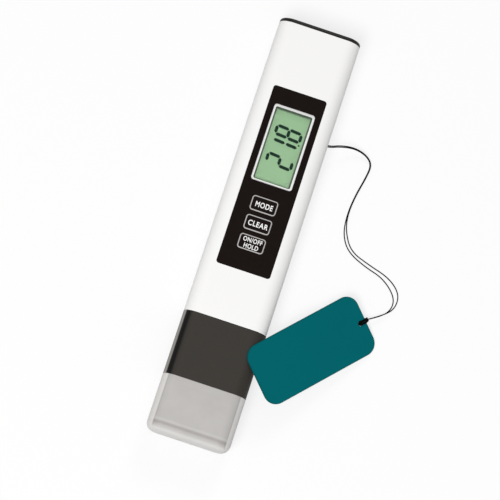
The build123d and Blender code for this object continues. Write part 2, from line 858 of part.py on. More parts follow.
# The two strands, from the lanyard eye over the table to the knot.
# The inner one turns behind the eye's bar and meets the outer one in the upper hole.
eye_step = (lanyard_bar + lanyard_hole_diameter) / 2
eye_upper = lanyard_height + eye_step
eye_lower = lanyard_height - eye_step
eye_inside = body_width / 2 - sleeve_wall - 2 * eye_step + string_diameter
eye_joint = eye_inside + 2 * eye_step
strand_step = 0.55 * string_diameter
inner_end = tag_plane.from_local_coords((knot_end, 0, tag_thickness / 2 - strand_step))
outer_end = tag_plane.from_local_coords((knot_end, 0, tag_thickness / 2 + strand_step))
print("knot ends", inner_end, outer_end)

inner_route = [
    (eye_joint, lanyard_level, eye_upper),
    (eye_inside, lanyard_level, eye_upper),
    (eye_inside, lanyard_level, eye_lower),
    (15.8, lanyard_level, eye_lower),
    (19.8, 41.0, 4.2),
    (24.8, 42.1, 1.9),
    (29.4, 41.2, 0.6),
    (32.1, 38.7, 0.25),
    (31.7, 34.0, 0.25),
    (29.9, 25.6, 0.25),
    (29.3, 17.9, 0.25),
    (30.2, 11.2, 0.25),
    (33.6, 5.9, 0.25),
    (40.8, 2.7, 0.25),
    (48.1, 0.8, 0.25),
    (53.6, -3.8, 0.25),
    (54.7, -8.0, 0.3),
    (52.4, -12.2, 0.8),
    tuple(inner_end),
]
outer_route = [
    (eye_joint, lanyard_level, eye_upper),
    (15.8, lanyard_level, eye_upper),
    (19.8, 41.1, 5.8),
    (24.8, 42.2, 2.8),
    (29.4, 41.3, 1.2),
    (32.3, 38.7, 0.7),
    (31.9, 34.0, 0.7),
    (30.1, 25.6, 0.7),
    (29.5, 18.2, 0.7),
    (30.8, 12.4, 0.35),
    (34.5, 6.4, 0.25),
    (41.9, 3.8, 0.25),
    (50.1, 1.6, 0.25),
    (55.1, -2.4, 0.25),
    (55.8, -7.1, 0.3),
    (53.4, -11.4, 1.7),
    tuple(outer_end),
]
save(cord_tube("string_inner", inner_route, string_diameter), "string_inner")
save(cord_tube("string_outer", outer_route, string_diameter), "string_outer")
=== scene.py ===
# %% [markdown]
# A pen-type digital water quality tester, lying on its back on a white table.
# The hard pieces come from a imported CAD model, which this script loads as a fixed frame.
# Blender adds what the CAD can't say: finishes, lettering, digits, the twisted string
# and its hitch through the card tag. Everything is in metres, and the CAD's axes hold:
# X to the right of the display, Y towards the battery end and Z out of the display.

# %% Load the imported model
import math

import bmesh
import bpy
from mathutils import Matrix, Vector


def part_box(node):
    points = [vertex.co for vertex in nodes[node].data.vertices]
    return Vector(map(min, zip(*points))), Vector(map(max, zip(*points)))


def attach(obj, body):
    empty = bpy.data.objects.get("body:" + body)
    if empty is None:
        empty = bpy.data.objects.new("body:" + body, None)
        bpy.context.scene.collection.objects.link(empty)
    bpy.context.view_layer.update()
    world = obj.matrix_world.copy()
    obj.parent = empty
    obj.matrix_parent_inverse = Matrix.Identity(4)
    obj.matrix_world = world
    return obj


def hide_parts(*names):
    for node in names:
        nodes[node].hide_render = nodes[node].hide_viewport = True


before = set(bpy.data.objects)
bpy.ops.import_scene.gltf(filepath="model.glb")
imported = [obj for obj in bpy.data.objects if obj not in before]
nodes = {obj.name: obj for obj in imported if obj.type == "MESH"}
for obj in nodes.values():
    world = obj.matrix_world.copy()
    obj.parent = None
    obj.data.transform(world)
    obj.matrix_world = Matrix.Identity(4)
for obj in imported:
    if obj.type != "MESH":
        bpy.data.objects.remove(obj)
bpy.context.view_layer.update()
mm = 0.001

# %% [markdown]
# The camera comes first.
# Its place, turn and lens were solved from corners and border lines of the tester whose
# places on the object are known, and no shift is needed. Three turns in a row give the
# view's axes, and the transposed matrix turns the camera the other way round.

# %% Camera at the photograph's viewing angle
camera_place = Vector((-16.79, -177.22, 825.73)) * mm
camera_turns = (
    Matrix.Rotation(math.radians(-18.146), 3, "Z")
    @ Matrix.Rotation(math.radians(-11.805), 3, "X")
    @ Matrix.Rotation(math.radians(1.198), 3, "Y")
)
camera_data = bpy.data.cameras.new("camera")
camera_data.sensor_width = 36
camera_data.lens = 172.2
camera_data.clip_start = 0.01
camera = bpy.data.objects.new("camera", camera_data)
bpy.context.scene.collection.objects.link(camera)
camera.matrix_world = Matrix.LocRotScale(camera_place, camera_turns.transposed(), None)
bpy.context.scene.camera = camera
print("camera at", [round(value, 4) for value in camera.location])

# %% [markdown]
# One loop of thin black string runs from the eye in the right wall to the tag.
# It is seen as two strands, so it is built as two cords with the same routes as the CAD.
# Each route is the control line of a smooth NURBS spline. The order and the end points
# are set after the points, because set before they would leave straight runs.

# %% Centrelines of the two strands
string_diameter = 0.4 * mm
strand_routes = {
    "string_inner": [
        (13.9, 38.3, 7.9),
        (12.1, 38.3, 7.9),
        (12.1, 38.3, 6.1),
        (15.8, 38.3, 6.1),
        (19.4, 40.3, 4.4),
        (24.6, 42.0, 1.9),
        (29.4, 41.2, 0.6),
        (32.1, 38.7, 0.25),
        (31.7, 34.0, 0.25),
        (29.9, 25.6, 0.25),
        (29.3, 17.9, 0.25),
        (30.2, 11.2, 0.25),
        (33.6, 5.9, 0.25),
        (40.8, 2.7, 0.25),
        (48.1, 0.8, 0.25),
        (53.6, -3.8, 0.25),
        (54.7, -8.0, 0.3),
        (52.4, -12.2, 0.8),
        (47.28, -15.34, 1.99),
    ],
    "string_outer": [
        (13.9, 38.3, 7.9),
        (15.8, 38.3, 7.9),
        (19.4, 40.4, 6.0),
        (24.6, 42.1, 2.8),
        (29.4, 41.3, 1.2),
        (32.3, 38.7, 0.7),
        (31.9, 34.0, 0.7),
        (30.1, 25.6, 0.7),
        (29.5, 18.2, 0.7),
        (30.8, 12.4, 0.35),
        (34.5, 6.4, 0.25),
        (41.9, 3.8, 0.25),
        (50.1, 1.6, 0.25),
        (55.1, -2.4, 0.25),
        (55.8, -7.1, 0.3),
        (53.4, -11.4, 1.7),
        (47.42, -15.34, 2.41),
    ],
}


def smooth_line(points, resolution=16):
    """The places along a smooth spline whose control points are given."""
    curve = bpy.data.curves.new("route", "CURVE")
    curve.dimensions = "3D"
    curve.resolution_u = resolution
    spline = curve.splines.new("NURBS")
    spline.points.add(len(points) - 1)
    for knot, point in zip(spline.points, points):
        knot.co = (*point, 1)
    spline.order_u = 3
    spline.use_endpoint_u = True
    carrier = bpy.data.objects.new("route", curve)
    traced = bpy.data.meshes.new_from_object(carrier)
    places = [vertex.co.copy() for vertex in traced.vertices]
    bpy.data.meshes.remove(traced)
    bpy.data.objects.remove(carrier)
    bpy.data.curves.remove(curve)
    return places


def line_length(places):
    """The length of a line through places."""
    return sum((after - before).length for before, after in zip(places, places[1:]))


strand_lines = {
    name: smooth_line([Vector(point) * mm for point in route])
    for name, route in strand_routes.items()
}
for name, line in strand_lines.items():
    print(name, "is", round(line_length(line) / mm, 2), "mm long")

# %% [markdown]
# Real string is two thin yarns twisted round each other. A round tube would look like
# wire, so the section here has two lobes, and it turns as it goes along the line.
# A frame carried from place to place without twist keeps the lobes' turn even.


# %% Twisted string as a mesh along a line
def add_piece(name, mesh, finish=None):
    """A new object for a mesh, in the scene and with its finish."""
    piece = bpy.data.objects.new(name, mesh)
    bpy.context.scene.collection.objects.link(piece)
    if finish:
        mesh.materials.append(finish)
    return piece


def even_places(places, step):
    """Places along the same line, an even step apart."""
    spaced = [places[0]]
    reach = 0
    for before, after in zip(places, places[1:]):
        run = (after - before).length
        while run and step - reach <= run:
            part = (step - reach) / run
            before = before.lerp(after, part)
            spaced.append(before)
            run = (after - before).length
            reach = 0
        reach += run
    return spaced + [places[-1]]


string_pitch = 1.1 * mm
rings_per_turn = 10
ring_corners = 12
lobe_waist = 0.92
lobe_swell = 0.15


def twisted_mesh(name, places):
    """A closed two-lobed tube along a line, which turns once in a pitch."""
    places = even_places(places, string_pitch / rings_per_turn)
    mesh = bpy.data.meshes.new(name)
    shape = bmesh.new()
    rings = []
    side = None
    travelled = 0
    for index, place in enumerate(places):
        ahead = places[min(index + 1, len(places) - 1)]
        behind = places[max(index - 1, 0)]
        along = (ahead - behind).normalized()
        side = along.orthogonal() if side is None else side - along * side.dot(along)
        side.normalize()
        other = along.cross(side)
        travelled += (place - behind).length if index else 0
        turn = 2 * math.pi * travelled / string_pitch
        ring = []
        for step in range(ring_corners):
            angle = 2 * math.pi * step / ring_corners
            lobe = lobe_waist + lobe_swell * abs(math.cos(angle - turn))
            radius = string_diameter / 2 * lobe
            offset = side * math.cos(angle) + other * math.sin(angle)
            ring.append(shape.verts.new(place + offset * radius))
        rings.append(ring)
    for first, second in zip(rings, rings[1:]):
        for step in range(ring_corners):
            after = (step + 1) % ring_corners
            shape.faces.new((first[step], first[after], second[after], second[step]))
    shape.faces.new(list(reversed(rings[0])))
    shape.faces.new(rings[-1])
    bmesh.ops.recalc_face_normals(shape, faces=shape.faces)
    for face in shape.faces:
        face.smooth = True
    shape.to_mesh(mesh)
    shape.free()
    return mesh


strands = {}
for name, line in strand_lines.items():
    strands[name] = add_piece(name + "_twist", twisted_mesh(name, line))
    print(strands[name].name, "has", len(strands[name].data.vertices), "vertices")

# %% [markdown]
# The tag leans on the collar's edge, so its length and its width are both askew.
# Its own middle is the middle of its box, and two angles give its three directions.

# %% The tag's own directions
tag_lean = math.radians(18.68)
tag_turn = math.radians(46.5)
tag_low, tag_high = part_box("tag")
tag_middle = (tag_low + tag_high) / 2
tag_normal = Vector((math.sin(tag_lean), 0, math.cos(tag_lean)))
tag_slope = Vector((math.cos(tag_lean), 0, -math.sin(tag_lean)))
tag_along = tag_slope * math.cos(tag_turn) + Vector((0, math.sin(tag_turn), 0))
tag_across = tag_normal.cross(tag_along)
tag_length = 46.5 * mm
tag_width = 22.3 * mm
tag_thickness = 0.8 * mm
tag_corner = 4.7 * mm
tag_hole = tag_length / 2 - 2.2 * mm


def on_tag(along, across, height):
    """A place on the tag, from its own middle."""
    return tag_middle + tag_along * along + tag_across * across + tag_normal * height


print("tag middle", [round(value / mm, 2) for value in tag_middle])

# %% [markdown]
# The string is hitched through the tag's hole. Four runs of it lie side by side, go down
# through the hole and come back under the end of the card, and three tight turns hold them.
# The CAD has a plain link and a short cylinder there, which this piece replaces.
# Each run is a smooth line as well, so it gets the same two-lobed section as the strands.

# %% Hitch through the tag's hole
hitch_end = tag_length / 2 + 0.5 * mm
knot_end = hitch_end + 0.6 * mm
run_reach = hitch_end - 0.15 * mm
run_bend = run_reach - 0.3 * mm
run_rise = tag_thickness / 2 + 0.3 * mm
run_half = 0.25 * mm
knot_half = 0.1 * mm
gather = 0.3
hole_step = 0.55
run_places = ((-0.66, -0.2), (-0.24, -0.72), (0.24, -0.72), (0.66, -0.2))
hitch_lines = []
for side, inset in run_places:
    hole = tag_hole + inset * mm
    beside = tag_hole + (inset + hole_step) * mm
    hitch_lines.append(
        smooth_line(
            [
                on_tag(knot_end, side * gather * mm, knot_half),
                on_tag(run_reach, side * mm, run_half),
                on_tag(run_bend, side * mm, run_rise),
                on_tag(beside, side * mm, run_rise),
                on_tag(hole, side * mm, run_rise),
                on_tag(hole, side * mm, 0),
                on_tag(hole, side * mm, -run_rise),
                on_tag(beside, side * mm, -run_rise),
                on_tag(run_bend, side * mm, -run_rise),
                on_tag(run_reach, side * mm, -run_half),
                on_tag(knot_end, side * gather * mm, -knot_half),
            ]
        )
    )
turn_radius = 0.62 * mm
turn_flatness = 0.75
turn_steps = 12
turns_steps = 3 * turn_steps
turns_length = 0.8 * mm
turns_middle = hitch_end + 0.2 * mm
turns = []
for step in range(turns_steps + 1):
    angle = 2 * math.pi * step / turn_steps
    travel = (step / turns_steps - 0.5) * turns_length
    turns.append(
        on_tag(
            turns_middle + travel,
            turn_radius * math.cos(angle),
            turn_flatness * turn_radius * math.sin(angle),
        )
    )
hitch_lines.append(smooth_line(turns, 4))
hitch_parts = [
    add_piece(f"hitch_part_{index}", twisted_mesh("hitch", line))
    for index, line in enumerate(hitch_lines)
]


def join_pieces(name, parts):
    """One object from several, under a new name."""
    with bpy.context.temp_override(
        active_object=parts[0], selected_editable_objects=parts
    ):
        bpy.ops.object.join()
    parts[0].name = name
    parts[0].data.name = name
    return parts[0]


hitch = join_pieces("string_hitch", hitch_parts)
print("hitch has", len(hitch.data.vertices), "vertices")

# %% [markdown]
# A finish is a tree of nodes. Written by hand that is long, so two small classes help:
# Wire wraps one output, so that sums on it add their Math nodes, and Finish makes a
# material with one method for every other node. Settings are made before sockets,
# because a node's setting can change which sockets it has.


# %% Wires and finishes
class Wire:
    """One node's output, which sums can be written with."""

    def __init__(self, finish, socket):
        self.finish = finish
        self.socket = socket

    def math(self, operation, *values):
        return self.finish.node(
            "ShaderNodeMath", {"operation": operation}, dict(enumerate(values))
        )

    def __add__(self, other):
        return self.math("ADD", self, other)

    def __sub__(self, other):
        return self.math("SUBTRACT", self, other)

    def __rsub__(self, other):
        return self.math("SUBTRACT", other, self)

    def __mul__(self, other):
        return self.math("MULTIPLY", self, other)

    def __truediv__(self, other):
        return self.math("DIVIDE", self, other)

    def __pow__(self, other):
        return self.math("POWER", self, other)

    def __abs__(self):
        return self.math("ABSOLUTE", self)

    __radd__ = __add__
    __rmul__ = __mul__

    def least(self, other):
        return self.math("MINIMUM", self, other)

    def most(self, other):
        return self.math("MAXIMUM", self, other)

    def fraction(self):
        return self.math("FRACT", self)

    def sine(self):
        return self.math("SINE", self)

    def between(self, low, high):
        """Rises from 0 at low to 1 at high, and stays there."""
        return self.finish.node(
            "ShaderNodeMapRange", {"clamp": True}, {"Value": self, 1: low, 2: high}
        )

    def band(self, rise, fall):
        """1 between two soft edges, each given as the places where it is 0 and 1."""
        return self.between(*rise) * self.between(*fall)


class Finish:
    """A new material, and the one method that adds its nodes."""

    def __init__(self, name):
        self.material = bpy.data.materials.new(name)
        self.material.use_nodes = True
        self.tree = self.material.node_tree
        self.tree.nodes.clear()

    def node(self, kind, settings=None, sockets=None, output=0):
        made = self.tree.nodes.new(kind)
        for name, value in (settings or {}).items():
            setattr(made, name, value)
        for name, value in (sockets or {}).items():
            if isinstance(value, Wire):
                self.tree.links.new(value.socket, made.inputs[name])
            else:
                made.inputs[name].default_value = value
        return Wire(self, made.outputs[output]) if made.outputs else None

    def place(self):
        """The three coordinates of the object's own frame."""
        where = self.node("ShaderNodeTexCoord", output=3)
        split = self.node("ShaderNodeSeparateXYZ", sockets={0: where}).socket.node
        return [Wire(self, split.outputs[axis]) for axis in range(3)]

    def vector(self, x, y, z):
        return self.node("ShaderNodeCombineXYZ", sockets={0: x, 1: y, 2: z})

    def noise(self, size, detail=2, where=None):
        """Soft noise between 0 and 1 with features of about a size in metres."""
        where = where or self.node("ShaderNodeTexCoord", output=3)
        return self.node(
            "ShaderNodeTexNoise",
            sockets={"Vector": where, "Scale": 1 / size, "Detail": detail},
        )

    def mix(self, mask, first, second):
        """One colour where the mask is 0, and the other where it is 1."""
        return self.node(
            "ShaderNodeMix",
            {"data_type": "RGBA"},
            {0: mask, 6: first, 7: second},
            output=2,
        )

    def bump(self, height, distance):
        return self.node(
            "ShaderNodeBump",
            sockets={"Height": height, "Distance": distance, "Strength": 1},
        )

    def surface(self, sockets):
        """The shader of a plain surface, and the material that now holds it."""
        shader = self.node("ShaderNodeBsdfPrincipled", sockets=sockets)
        self.node("ShaderNodeOutputMaterial", sockets={"Surface": shader})
        return self.material


def shade(colour, factor=1):
    """A colour with its alpha, lighter or darker by a factor."""
    return (*[min(1, part * factor) for part in colour], 1)


# %% [markdown]
# Moulded plastic is never one flat value. The tool's surface leaves a fine grain, the
# melt a faint cloudiness, and handling a slight change of gloss. One helper with a few
# sizes gives the shell, the cover and the pieces inside their own surface. A pale plastic
# clouds towards a darker tone and a dark one towards a lighter.


# %% Moulded plastic
cloud_size = 18 * mm
pale_from = 0.3
darkening = 0.6
lightening = 2.2


def moulded(name, colour, gloss, cloud=0.03, grain=0.25, depth=0.004, shine=0.5):
    """Plastic with a cloudy colour and a grain, whose size and depth are in mm."""
    finish = Finish(name)
    clouds = finish.noise(cloud_size, 3)
    drift = darkening if colour[0] > pale_from else lightening
    base = finish.mix(clouds * cloud, shade(colour), shade(colour, drift))
    skin = finish.noise(grain * mm, 3)
    rough = gloss + (clouds - 0.5) * 0.12 + (skin - 0.5) * 0.06
    return finish.surface(
        {
            "Base Color": base,
            "Roughness": rough,
            "Specular IOR Level": shine,
            "Normal": finish.bump(skin, depth * mm),
        }
    )


white_shell = moulded(
    "white_shell", (0.955, 0.95, 0.94), 0.42, 0.03, 0.5, 0.002, shine=0.35
)
black_cover = moulded(
    "black_cover", (0.012, 0.011, 0.010), 0.45, 0.05, 0.3, 0.003, shine=0.25
)
frame_white = moulded("frame_white", (1.0, 1.0, 0.99), 0.5, 0.0, 0.3, 0.001)
chassis_grey = moulded("chassis_grey", (0.12, 0.12, 0.12), 0.5)
tray_black = moulded("tray_black", (0.03, 0.03, 0.03), 0.5, 0.05, 0.4, 0.006)
plunger_black = moulded("plunger_black", (0.02, 0.02, 0.02), 0.35)
switch_black = moulded("switch_black", (0.03, 0.03, 0.03), 0.4)
chip_black = moulded("chip_black", (0.02, 0.02, 0.022), 0.6, 0.05, 0.15, 0.01)
head_pale = moulded("head_pale", (0.55, 0.53, 0.5), 0.5, 0.05, 0.4, 0.004)
print("moulded plastics from", white_shell.name, "to", head_pale.name)

# %% [markdown]
# The collar has a coarser grain than the shell. Along its left edge light is painted on:
# a painted dark reflection on the bend, then a painted highlight, a pale line where it meets
# the side. Both are bands of places across the collar, so they stay where they are at any
# zoom.


# %% Grained collar with a painted reflection and highlight on its edge
bend_inner = (-11.9 * mm, -12.9 * mm)
bend_outer = (-14.2 * mm, -13.9 * mm)
highlight_edge = (-13.95 * mm, -14.25 * mm)
front_level = (9.4 * mm, 10.2 * mm)


def grained_collar(name, colour):
    """Matt charcoal plastic, with a painted dark reflection on the left bend and a painted
    highlight along the left edge.
    """
    finish = Finish(name)
    across, along, height = finish.place()
    clouds = finish.noise(cloud_size, 3)
    specks = finish.noise(0.3 * mm, 2).between(0.35, 0.7)
    skin = finish.noise(0.22 * mm, 3)
    front = height.between(*front_level)
    bend = across.band(bend_inner, bend_outer)
    painted_highlight = across.between(*highlight_edge) * front
    tone = clouds * 0.06 + specks * 0.16
    base = finish.mix(tone, shade(colour), shade(colour, lightening))
    # Painted dark reflection: a near-black band on the rounded left edge of the front
    base = finish.mix(bend * front, base, shade((0.0005, 0.0004, 0.0003)))
    # Painted highlight: a pale line where the left edge meets the side
    base = finish.mix(painted_highlight * 0.8, base, shade((0.4, 0.38, 0.36)))
    return finish.surface(
        {
            "Base Color": base,
            "Roughness": 0.6 + (skin - 0.5) * 0.12,
            "Specular IOR Level": 0.25,
            "Normal": finish.bump(skin, 0.012 * mm),
        }
    )


collar_charcoal = grained_collar("collar_charcoal", (0.032, 0.028, 0.023))
print("collar's dark bend is", round((bend_inner[1] - bend_outer[1]) / mm, 2), "mm wide")

# %% [markdown]
# The front panel and the keys are one printed film look: warm black and smooth, with a
# faint orange peel. Each key has a pale outline just inside its edge, on its top alone.
# The distance to a rounded rectangle's edge is a short sum, so the line is drawn by maths
# and stays crisp.


# %% Printed panel and outlined keys
def rounded_distance(across, along, width, length, corner):
    """How far a place lies outside a rounded rectangle's edge, negative inside."""
    side = abs(across) - (width / 2 - corner)
    end = abs(along) - (length / 2 - corner)
    outside = (side.most(0) ** 2 + end.most(0) ** 2) ** 0.5
    return outside + side.most(end).least(0) - corner


key_width = 9.45 * mm
key_height = 5.45 * mm
key_corner = 1.1 * mm
key_top = 14.0 * mm
key_levels = {"mode": 9.025 * mm, "clear": 1.925 * mm, "power": -5.175 * mm}
outline_edge = (-0.42 * mm, -0.37 * mm)
outline_level = (key_top - 0.3 * mm, key_top - 0.25 * mm)


def printed_panel(name, key_level=None):
    """Warm black film; with a key's level, the key's pale outline too."""
    finish = Finish(name)
    peel = finish.noise(1.6 * mm, 2)
    base = finish.mix(
        peel * 0.3, shade((0.006, 0.0028, 0.0018)), shade((0.011, 0.006, 0.005))
    )
    rough = 0.4 + (peel - 0.5) * 0.1
    if key_level is not None:
        across, along, height = finish.place()
        edge = rounded_distance(across, along - key_level, key_width, key_height, key_corner)
        line = edge.between(*outline_edge) * height.between(*outline_level)
        base = finish.mix(line, base, shade((0.5, 0.485, 0.47)))
    return finish.surface(
        {
            "Base Color": base,
            "Roughness": rough,
            "Specular IOR Level": 0.12,
            "Normal": finish.bump(peel, 0.004 * mm),
        }
    )


panel_black = printed_panel("panel_black")
key_finishes = {
    name: printed_panel(f"key_{name}", level) for name, level in key_levels.items()
}
print("keys:", list(key_levels))

# %% [markdown]
# The window and the display's front glass only have to let the reader look in. Thin
# clear sheets are best made as an almost see-through surface: its gloss stays, and the
# light doesn't have to find its way through solid glass, which would be dark and grainy.
# The green behind them is a reflector, with a painted shadow of the frame's lip along all its
# edges but the lower end.


# %% Clear window, display glass and the green reflector
def clear_sheet(name, colour, alpha, gloss):
    """A thin clear sheet with faint wiping marks in its gloss."""
    finish = Finish(name)
    across, along, height = finish.place()
    wiped = finish.noise(3 * mm, 3, finish.vector(across, along * 0.3, height))
    material = finish.surface(
        {
            "Base Color": shade(colour),
            "Roughness": gloss + wiped * 0.06,
            "Alpha": alpha,
            "Specular IOR Level": 0.4,
        }
    )
    material.surface_render_method = "BLENDED"
    return material


view_width = 13.5 * mm
view_length = 27.3 * mm
view_middle = 31.15 * mm
view_corner = 0.6 * mm
view_low_end = view_middle - view_length / 2
lip_shadow_edge = (-0.6 * mm, -0.5 * mm)
lip_shadow_start = (view_low_end + 0.5 * mm, view_low_end + 0.6 * mm)


def reflector(name):
    """Grey-green display reflector with the fine sparkle of its metallic grains, and a
    painted shadow of the frame's lip near its edges.
    """
    finish = Finish(name)
    grains = finish.noise(0.09 * mm, 1)
    wash = finish.noise(9 * mm, 2)
    tone = grains * 0.2 + wash * 0.3
    base = finish.mix(tone, shade((0.58, 0.955, 0.545)), shade((0.655, 1.0, 0.61)))
    across, along = finish.place()[:2]
    edge = rounded_distance(across, along - view_middle, view_width, view_length, view_corner)
    # Painted shadow that the frame's lip casts, a dark line along all edges but the lower end
    line = edge.between(*lip_shadow_edge) * along.between(*lip_shadow_start)
    base = finish.mix(line * 0.8, base, shade((0.07, 0.09, 0.075)))
    return finish.surface(
        {
            "Base Color": base,
            "Roughness": 0.5 + (grains - 0.5) * 0.2,
            "Normal": finish.bump(grains, 0.002 * mm),
        }
    )


window_clear = clear_sheet("window_clear", (0.1, 0.1, 0.1), 0.02, 0.05)
display_clear = clear_sheet("display_clear", (0.02, 0.03, 0.02), 0.03, 0.03)
display_green = reflector("display_green")
segment_green = moulded("segment_green", (0.008, 0.036, 0.02), 0.5, 0.05, 0.2, 0.0, shine=0.1)

# %% [markdown]
# The cap is a pale frosted plastic, and a little shows through it, so its surface is partly
# see-through. Along its sides and its end the wall is seen on edge: there the surface is made
# less see-through, as the thicker wall would be, and paler, which is a painted highlight.
# A painted shade line marks where its inner end and inner sides would show through, with a
# painted highlight beside the end's line. All of them are bands at a distance from the cap's
# end or from its middle plane. A colour that looked at the view's angle would do for one
# camera only.


# %% Frosted cap
cap_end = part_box("cap")[0].y
shadow_edges = ((1.9 * mm, 2.5 * mm), (3.5 * mm, 3.0 * mm))
gleam_edges = ((3.4 * mm, 3.8 * mm), (4.6 * mm, 4.1 * mm))
side_shadow_edges = ((12.5 * mm, 12.8 * mm), (13.3 * mm, 13.0 * mm))
rim_side = (12.9 * mm, 13.3 * mm)
rim_end = (1.9 * mm, 0.8 * mm)


def frosted(name, colour):
    """Translucent moulded plastic, with painted shade and painted highlights at its end and
    sides.
    """
    finish = Finish(name)
    cloud = finish.noise(6 * mm, 3)
    frost = finish.noise(0.15 * mm, 2)
    base = finish.mix(cloud, shade(colour), shade(colour, 1.06))
    across, along = finish.place()[:2]
    from_end = along - cap_end
    from_middle = abs(across)
    dark = from_end.band(*shadow_edges)
    light = from_end.band(*gleam_edges)
    side_shadow = from_middle.band(*side_shadow_edges)
    rim = from_middle.between(*rim_side).most(from_end.between(*rim_end))
    # Painted shade: a dark line near the end and a fainter one just inside the sides
    base = finish.mix(dark * 0.5 + side_shadow * 0.2, base, shade((0.36, 0.33, 0.31)))
    # Painted highlight beside the end's dark line, and a pale rim along the sides and end
    base = finish.mix((light * 0.45).most(rim * 0.85), base, shade((0.8, 0.78, 0.76)))
    material = finish.surface(
        {
            "Base Color": base,
            "Roughness": 0.4 + (frost - 0.5) * 0.15,
            # The rim is less see-through, as the thicker wall is; its paler colour above is
            # painted highlight
            "Alpha": (0.7 + (cloud - 0.5) * 0.1 + rim * 0.25).least(0.97),
            "Specular IOR Level": 0.35,
            "Normal": finish.bump(frost, 0.006 * mm),
        }
    )
    material.surface_render_method = "BLENDED"
    return material


cap_frosted = frosted("cap_frosted", (0.64, 0.62, 0.605))

# %% [markdown]
# Metals differ by how they were worked: pressed cans and cell cases have fine drawn lines
# round or along them, contacts and screws a plated shine, and the pins are polished.


# %% Metals
line_width = 0.12 * mm
line_depth = 0.002 * mm


def worked_metal(name, colour, gloss, stretch):
    """Metal with fine lines; stretch gives how far they run along X, Y and Z."""
    finish = Finish(name)
    across, along, height = finish.place()
    place = finish.vector(across / stretch[0], along / stretch[1], height / stretch[2])
    lines = finish.noise(line_width, 2, place)
    stain = finish.noise(4 * mm, 3)
    return finish.surface(
        {
            "Base Color": finish.mix(stain * 0.4, shade(colour), shade(colour, 0.75)),
            "Metallic": 1.0,
            "Roughness": gloss + (lines - 0.5) * 0.15 + stain * 0.05,
            "Normal": finish.bump(lines, line_depth),
        }
    )


cell_steel = worked_metal("cell_steel", (0.62, 0.62, 0.6), 0.28, (12, 1, 12))
can_metal = worked_metal("can_metal", (0.7, 0.7, 0.7), 0.3, (1, 8, 1))
screw_steel = worked_metal("screw_steel", (0.55, 0.55, 0.55), 0.3, (2, 2, 1))
contact_plate = worked_metal("contact_plate", (0.68, 0.66, 0.6), 0.25, (1, 10, 1))
electrode_steel = worked_metal("electrode_steel", (0.6, 0.6, 0.62), 0.18, (6, 1, 6))
sensor_steel = worked_metal("sensor_steel", (0.52, 0.52, 0.52), 0.32, (6, 1, 6))


# %% [markdown]
# Rubber and wire insulation are matt, with a fine bloom. The strips between board and
# glass are striped rubber: thin black layers carry the current to each contact.


# %% Rubber, wires and contact strips
def rubbery(name, colour, gloss=0.7, stripes=0.0):
    """Matt rubber with a bloom; stripes is the width of a pair of layers in mm."""
    finish = Finish(name)
    bloom = finish.noise(1.2 * mm, 3)
    base = finish.mix(bloom * 0.5, shade(colour), shade(colour, 1.5))
    if stripes:
        across = finish.place()[0]
        layers = (across / (stripes * mm)).fraction()
        base = finish.mix(layers.between(0.45, 0.55), base, shade((0.02, 0.02, 0.02)))
    return finish.surface(
        {
            "Base Color": base,
            "Roughness": gloss + (bloom - 0.5) * 0.15,
            "Normal": finish.bump(bloom, 0.006 * mm),
        }
    )


seal_rubber = rubbery("seal_rubber", (0.02, 0.02, 0.02))
elastomer_grey = rubbery("elastomer_grey", (0.45, 0.3, 0.3), 0.65, 0.4)
lead_black = rubbery("lead_black", (0.02, 0.02, 0.02), 0.45)
lead_red = rubbery("lead_red", (0.4, 0.02, 0.02), 0.45)
lead_white = rubbery("lead_white", (0.7, 0.7, 0.68), 0.45)


# %% [markdown]
# The circuit board is green solder mask over copper. Where a track runs below it the
# mask is lighter, so two families of thin lines, broken up by noise, suggest the tracks.


# %% Circuit board
across_waves = 1200
along_waves = 1000


def solder_mask(name):
    """Green mask with lighter tracks under it."""
    finish = Finish(name)
    across, along = finish.place()[:2]
    field = finish.noise(6 * mm, 1)
    wave = (across * across_waves).sine().between(0.55, 0.75)
    other = (along * along_waves).sine().between(0.6, 0.8)
    tracks = wave * field.between(0.5, 0.52) + other * field.between(0.5, 0.48)
    base = finish.mix(tracks, shade((0.008, 0.09, 0.03)), shade((0.03, 0.2, 0.07)))
    return finish.surface(
        {
            "Base Color": base,
            "Roughness": 0.35 + (field - 0.5) * 0.1,
            "Normal": finish.bump(tracks, 0.02 * mm),
        }
    )


board_green = solder_mask("board_green")


# %% [markdown]
# String is matt fibre, and the tag is coated card. The card's colour is even, a little
# darker along its rim, and fine fibres show in the light.


# %% String and card tag
def fibre(name, colour):
    """Matt yarn with fine light fibres."""
    finish = Finish(name)
    fuzz = finish.noise(0.12 * mm, 3)
    base = finish.mix(fuzz.between(0.5, 0.8), shade(colour), shade(colour, 2))
    return finish.surface(
        {
            "Base Color": base,
            "Specular IOR Level": 0.1,
            "Roughness": 0.8 + (fuzz - 0.5) * 0.2,
            "Normal": finish.bump(fuzz, 0.03 * mm),
        }
    )


def coated_card(name, colour):
    """Teal coated card, measured in the tag's own directions."""
    finish = Finish(name)
    where = finish.node("ShaderNodeTexCoord", output=3)
    offset = finish.node(
        "ShaderNodeVectorMath", {"operation": "SUBTRACT"}, {0: where, 1: tag_middle}
    )
    along, across = [
        finish.node(
            "ShaderNodeVectorMath",
            {"operation": "DOT_PRODUCT"},
            {0: offset, 1: direction},
            output=1,
        )
        for direction in (tag_along, tag_across)
    ]
    edge = rounded_distance(along, across, tag_length, tag_width, tag_corner)
    fibres = finish.noise(0.5 * mm, 4)
    cloud = finish.noise(14 * mm, 2)
    rim = edge.between(-0.5 * mm, -0.1 * mm)
    tone = rim * 0.5 + (cloud - 0.5) * 0.25 + (fibres - 0.5) * 0.1
    base = finish.mix(tone, shade(colour), shade(colour, 0.6))
    return finish.surface(
        {
            "Base Color": base,
            "Roughness": 0.55 + (fibres - 0.5) * 0.15,
            "Specular IOR Level": 0.04,
            "Normal": finish.bump(fibres, 0.006 * mm),
        }
    )


